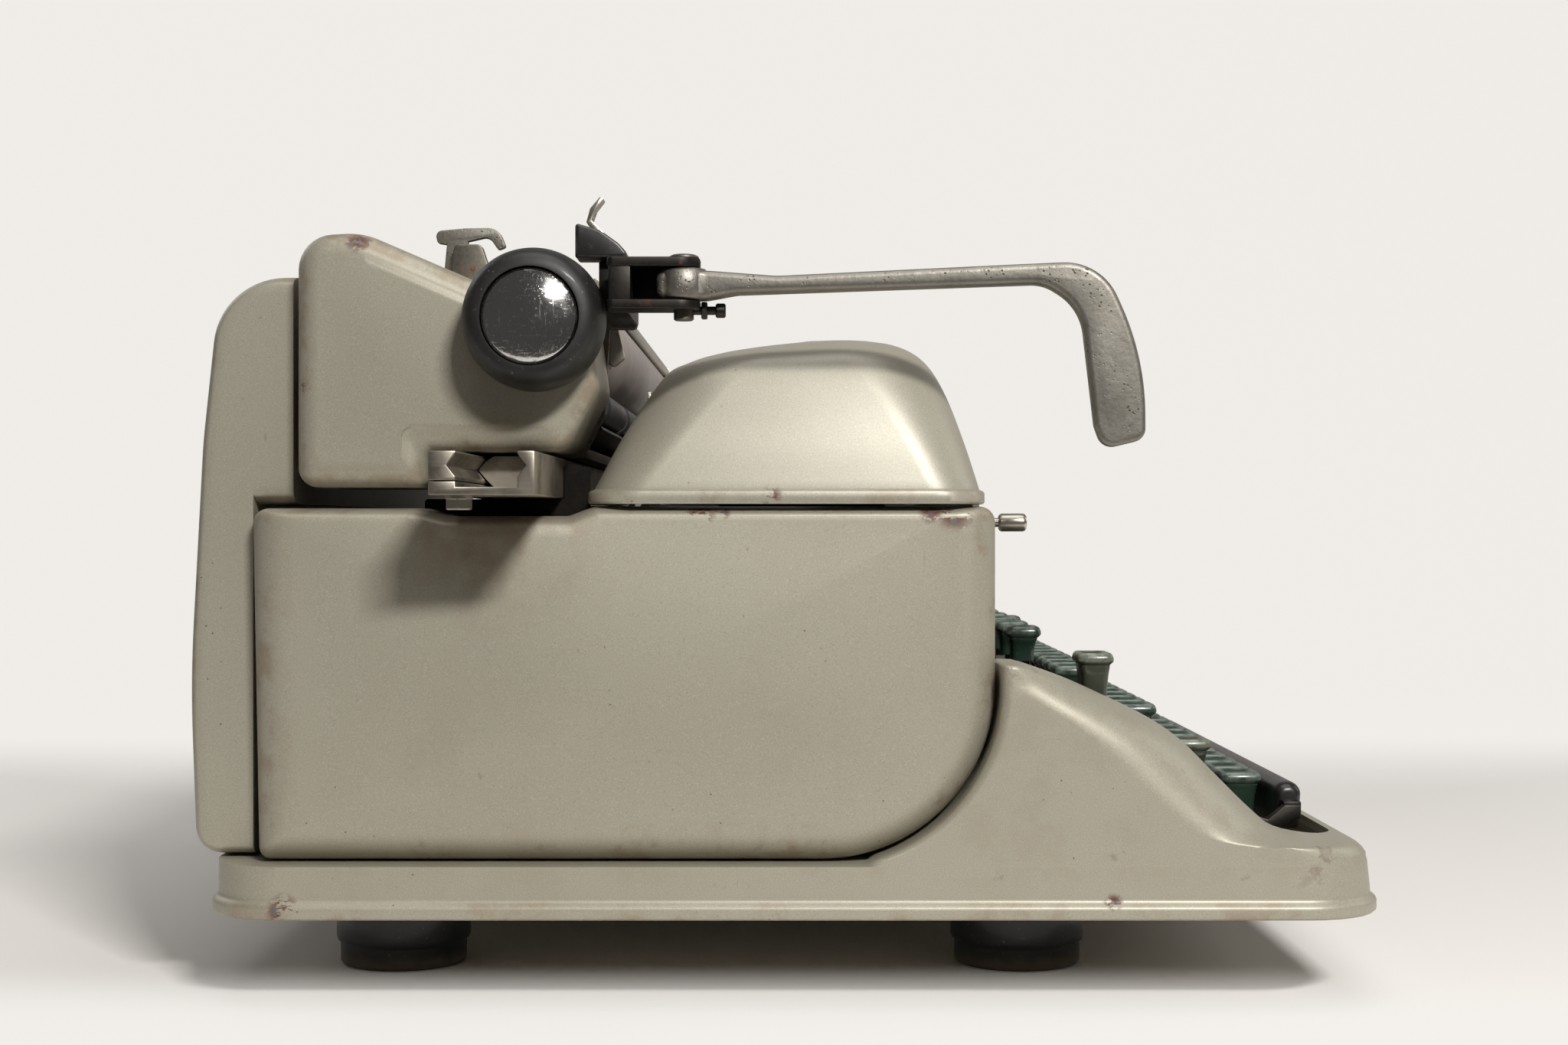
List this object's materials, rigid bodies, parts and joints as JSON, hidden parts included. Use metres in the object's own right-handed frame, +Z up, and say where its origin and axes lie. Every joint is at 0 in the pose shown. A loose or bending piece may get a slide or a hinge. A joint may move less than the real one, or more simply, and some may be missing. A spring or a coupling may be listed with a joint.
{
  "type": "wide-carriage typewriter",
  "caption": "Manual office typewriter with a wide sliding carriage, hinged ribbon cover, moving keys and a curved return lever.",
  "frame": {"origin": "middle of the footprint of the whole machine with its carriage as pictured, on the floor", "axes": "+X to the typist's right along the carriage, +Y to the rear, +Z up"},
  "size_m": [0.588, 0.3724, 0.2518],
  "materials": {
    "painted_shell": "satin stoving enamel, worn at the edges",
    "foot_rubber": "matt moulded rubber",
    "roller_rubber": "hard ground rubber",
    "black_plastic": "polished phenolic",
    "key_green": "glossy dark green",
    "key_olive": "glossy olive grey",
    "machined_steel": "brushed, slightly tarnished",
    "dark_steel": "oily dark steel",
    "cast_metal": "pitted cast finish",
    "chrome_cap": "scratched chrome",
    "inked_ribbon": "inked cotton"
  },
  "bodies": {
    "machine": {"base": "painted_shell", "foot_front_left": "foot_rubber", "foot_front_right": "foot_rubber", "foot_rear_left": "foot_rubber", "foot_rear_right": "foot_rubber", "side_cover_left": "painted_shell", "side_cover_right": "painted_shell", "rear_cover": "painted_shell", "front_panel": "painted_shell", "cover_hinge_pin": "machined_steel", "inner_frame": "dark_steel", "rail_channel": "machined_steel", "rear_rail": "machined_steel", "type_segment": "machined_steel", "type_bar_fan": "machined_steel", "type_guide": "machined_steel", "margin_bell": "machined_steel"},
    "carriage": {"moving_rail": "machined_steel", "carriage_frame": "dark_steel", "end_cover_left": "painted_shell", "end_cover_right": "painted_shell", "paper_table": "dark_steel", "paper_pan": "dark_steel", "margin_rack": "machined_steel", "lever_bracket": "dark_steel", "lever_pivot_pin": "machined_steel"},
    "platen_group": {"platen": "roller_rubber", "platen_knob_left": "black_plastic", "platen_knob_right": "black_plastic", "knob_cap_left": "chrome_cap", "knob_cap_right": "chrome_cap"},
    "front_roller": {"feed_roller_front": "roller_rubber"},
    "rear_roller": {"feed_roller_rear": "roller_rubber"},
    "return_lever_body": {"return_lever": "cast_metal"},
    "carriage_release_body": {"carriage_release": "black_plastic"},
    "line_space_body": {"line_space_selector": "machined_steel"},
    "paper_release_body": {"paper_release": "cast_metal"},
    "paper_bail_body": {"paper_bail": "machined_steel"},
    "left_stop": {"margin_stop_left": "machined_steel"},
    "right_stop": {"margin_stop_right": "machined_steel"},
    "cover": {"ribbon_cover": "painted_shell"},
    "selector": {"ribbon_selector": "machined_steel"},
    "vibrator": {"ribbon_vibrator": "machined_steel"},
    "type_bar": {"centre_type_bar": "machined_steel"},
    "drum": {"mainspring_drum": "machined_steel"},
    "escapement": {"escapement_wheel": "machined_steel"},
    "spool_left": {"ribbon_spool_left": "inked_ribbon"},
    "spool_right": {"ribbon_spool_right": "inked_ribbon"},
    "number_row": {"keys_number_row": "key_green"},
    "upper_row": {"keys_upper_row": "key_green"},
    "home_row": {"keys_home_row": "key_green"},
    "lower_row": {"keys_lower_row": "key_green"},
    "centre_key_body": {"centre_key": "key_green"},
    "shift_lock_body": {"shift_lock": "key_olive"},
    "shift_left_body": {"shift_left": "key_green"},
    "shift_right_body": {"shift_right": "key_green"},
    "margin_release_body": {"margin_release": "key_olive"},
    "back_space_body": {"back_space": "key_olive"},
    "function_row": {"function_keys": "key_green"},
    "space_bar_body": {"space_bar": "black_plastic"}
  },
  "joints": [
    {"name": "carriage_travel", "type": "slide", "parent": "machine", "child": "carriage", "axis": [-1, 0, 0], "range_m": [-0.11, 0.265]},
    {"name": "platen_turn", "type": "hinge", "parent": "carriage", "child": "platen_group", "pos_m": [0.012, 0.07465, 0.2098], "axis": [1, 0, 0], "continuous": true},
    {"name": "front_roller_turn", "type": "hinge", "parent": "carriage", "child": "front_roller", "pos_m": [0.012, 0.06316, 0.18726], "axis": [1, 0, 0], "continuous": true},
    {"name": "rear_roller_turn", "type": "hinge", "parent": "carriage", "child": "rear_roller", "pos_m": [0.012, 0.08614, 0.18726], "axis": [1, 0, 0], "continuous": true},
    {"name": "return_lever_swing", "type": "hinge", "parent": "carriage", "child": "return_lever_body", "pos_m": [-0.259, 0.02925, 0.2243], "axis": [0, 0, 1], "range_deg": [0, 30], "stiffness_Nm_per_rad": 0.9, "springref_deg": -11.46},
    {"name": "carriage_release_tilt", "type": "hinge", "parent": "carriage", "child": "carriage_release_body", "pos_m": [-0.2435, 0.06265, 0.229], "axis": [-1, 0, 0], "range_deg": [0, 12], "stiffness_Nm_per_rad": 0.2, "springref_deg": -11.46},
    {"name": "line_space_tilt", "type": "hinge", "parent": "carriage", "child": "line_space_body", "pos_m": [-0.222, 0.05425, 0.229], "axis": [1, 0, 0], "range_deg": [-14, 14]},
    {"name": "paper_release_tilt", "type": "hinge", "parent": "carriage", "child": "paper_release_body", "pos_m": [-0.188, 0.10665, 0.2374], "axis": [1, 0, 0], "range_deg": [0, 15]},
    {"name": "paper_bail_lift", "type": "hinge", "parent": "carriage", "child": "paper_bail_body", "pos_m": [0.012, 0.05525, 0.2038], "axis": [1, 0, 0], "range_deg": [0, 50]},
    {"name": "left_stop_slide", "type": "slide", "parent": "carriage", "child": "left_stop", "axis": [1, 0, 0], "range_m": [-0.03, 0.13]},
    {"name": "right_stop_slide", "type": "slide", "parent": "carriage", "child": "right_stop", "axis": [-1, 0, 0], "range_m": [-0.03, 0.13]},
    {"name": "ribbon_cover_lift", "type": "hinge", "parent": "machine", "child": "cover", "pos_m": [-0.067, -0.06355, 0.1546], "axis": [1, 0, 0], "range_deg": [0, 75]},
    {"name": "selector_slide", "type": "slide", "parent": "machine", "child": "selector", "axis": [1, 0, 0], "range_m": [-0.006, 0.006]},
    {"name": "number_row_press", "type": "hinge", "parent": "machine", "child": "number_row", "pos_m": [-0.067, 0.09425, 0.054], "axis": [1, 0, 0], "range_deg": [0, 2.8], "stiffness_Nm_per_rad": 8, "springref_deg": -8.59},
    {"name": "upper_row_press", "type": "hinge", "parent": "machine", "child": "upper_row", "pos_m": [-0.067, 0.09425, 0.054], "axis": [1, 0, 0], "range_deg": [0, 2.8], "stiffness_Nm_per_rad": 8, "springref_deg": -8.59},
    {"name": "home_row_press", "type": "hinge", "parent": "machine", "child": "home_row", "pos_m": [-0.067, 0.09425, 0.054], "axis": [1, 0, 0], "range_deg": [0, 2.8], "stiffness_Nm_per_rad": 8, "springref_deg": -8.59},
    {"name": "lower_row_press", "type": "hinge", "parent": "machine", "child": "lower_row", "pos_m": [-0.067, 0.09425, 0.054], "axis": [1, 0, 0], "range_deg": [0, 2.8], "stiffness_Nm_per_rad": 8, "springref_deg": -8.59},
    {"name": "centre_key_press", "type": "hinge", "parent": "machine", "child": "centre_key_body", "pos_m": [-0.067, 0.09425, 0.054], "axis": [1, 0, 0], "range_deg": [0, 2.8], "stiffness_Nm_per_rad": 1.2, "springref_deg": -8.59},
    {"name": "shift_left_press", "type": "hinge", "parent": "machine", "child": "shift_left_body", "pos_m": [-0.067, 0.09425, 0.054], "axis": [1, 0, 0], "range_deg": [0, 2.8], "stiffness_Nm_per_rad": 1.2, "springref_deg": -8.59},
    {"name": "shift_right_press", "type": "hinge", "parent": "machine", "child": "shift_right_body", "pos_m": [-0.067, 0.09425, 0.054], "axis": [1, 0, 0], "range_deg": [0, 2.8], "stiffness_Nm_per_rad": 1.2, "springref_deg": -8.59},
    {"name": "margin_release_press", "type": "hinge", "parent": "machine", "child": "margin_release_body", "pos_m": [-0.067, 0.09425, 0.054], "axis": [1, 0, 0], "range_deg": [0, 2.8], "stiffness_Nm_per_rad": 1.2, "springref_deg": -8.59},
    {"name": "back_space_press", "type": "hinge", "parent": "machine", "child": "back_space_body", "pos_m": [-0.067, 0.09425, 0.054], "axis": [1, 0, 0], "range_deg": [0, 2.8], "stiffness_Nm_per_rad": 1.2, "springref_deg": -8.59},
    {"name": "shift_lock_press", "type": "hinge", "parent": "machine", "child": "shift_lock_body", "pos_m": [-0.067, 0.09425, 0.054], "axis": [1, 0, 0], "range_deg": [0, 2.8], "stiffness_Nm_per_rad": 1.2, "springref_deg": -8.59},
    {"name": "space_bar_press", "type": "hinge", "parent": "machine", "child": "space_bar_body", "pos_m": [-0.067, 0.09425, 0.054], "axis": [1, 0, 0], "range_deg": [0, 2], "stiffness_Nm_per_rad": 4, "springref_deg": -8.59},
    {"name": "function_keys_press", "type": "hinge", "parent": "machine", "child": "function_row", "pos_m": [-0.067, -0.00875, 0.09], "axis": [1, 0, 0], "range_deg": [0, 5], "stiffness_Nm_per_rad": 1.5, "springref_deg": -8.59},
    {"name": "type_bar_swing", "type": "hinge", "parent": "machine", "child": "type_bar", "pos_m": [-0.067, 0.03925, 0.122], "axis": [-1, 0, 0], "range_deg": [0, 98.8]},
    {"name": "vibrator_lift", "type": "slide", "parent": "machine", "child": "vibrator", "axis": [0, 0, 1], "range_m": [0, 0.0085]},
    {"name": "spool_left_turn", "type": "hinge", "parent": "machine", "child": "spool_left", "pos_m": [-0.175, -0.00675, 0.147], "axis": [0, 0, 1], "continuous": true},
    {"name": "spool_right_turn", "type": "hinge", "parent": "machine", "child": "spool_right", "pos_m": [0.041, -0.00675, 0.147], "axis": [0, 0, 1], "continuous": true},
    {"name": "drum_turn", "type": "hinge", "parent": "machine", "child": "drum", "pos_m": [-0.171, 0.11725, 0.116], "axis": [0, 1, 0], "range_deg": [-700, 320]},
    {"name": "escapement_turn", "type": "hinge", "parent": "machine", "child": "escapement", "pos_m": [-0.067, 0.10375, 0.1418], "axis": [0, 1, 0], "range_deg": [-1060, 460]}
  ],
  "couplings": [
    {"joint": "front_roller_turn", "follows": "platen_turn", "ratio": -3.1667},
    {"joint": "rear_roller_turn", "follows": "platen_turn", "ratio": -3.1667},
    {"joint": "type_bar_swing", "follows": "centre_key_press", "ratio": 35.107},
    {"joint": "vibrator_lift", "follows": "centre_key_press", "m_per_rad": 0.1637},
    {"joint": "shift_right_press", "follows": "shift_left_press", "ratio": 1},
    {"joint": "spool_right_turn", "follows": "spool_left_turn", "ratio": 1},
    {"joint": "drum_turn", "follows": "carriage_travel", "rad_per_m": -41.667},
    {"joint": "escapement_turn", "follows": "carriage_travel", "rad_per_m": -63.291}
  ]
}
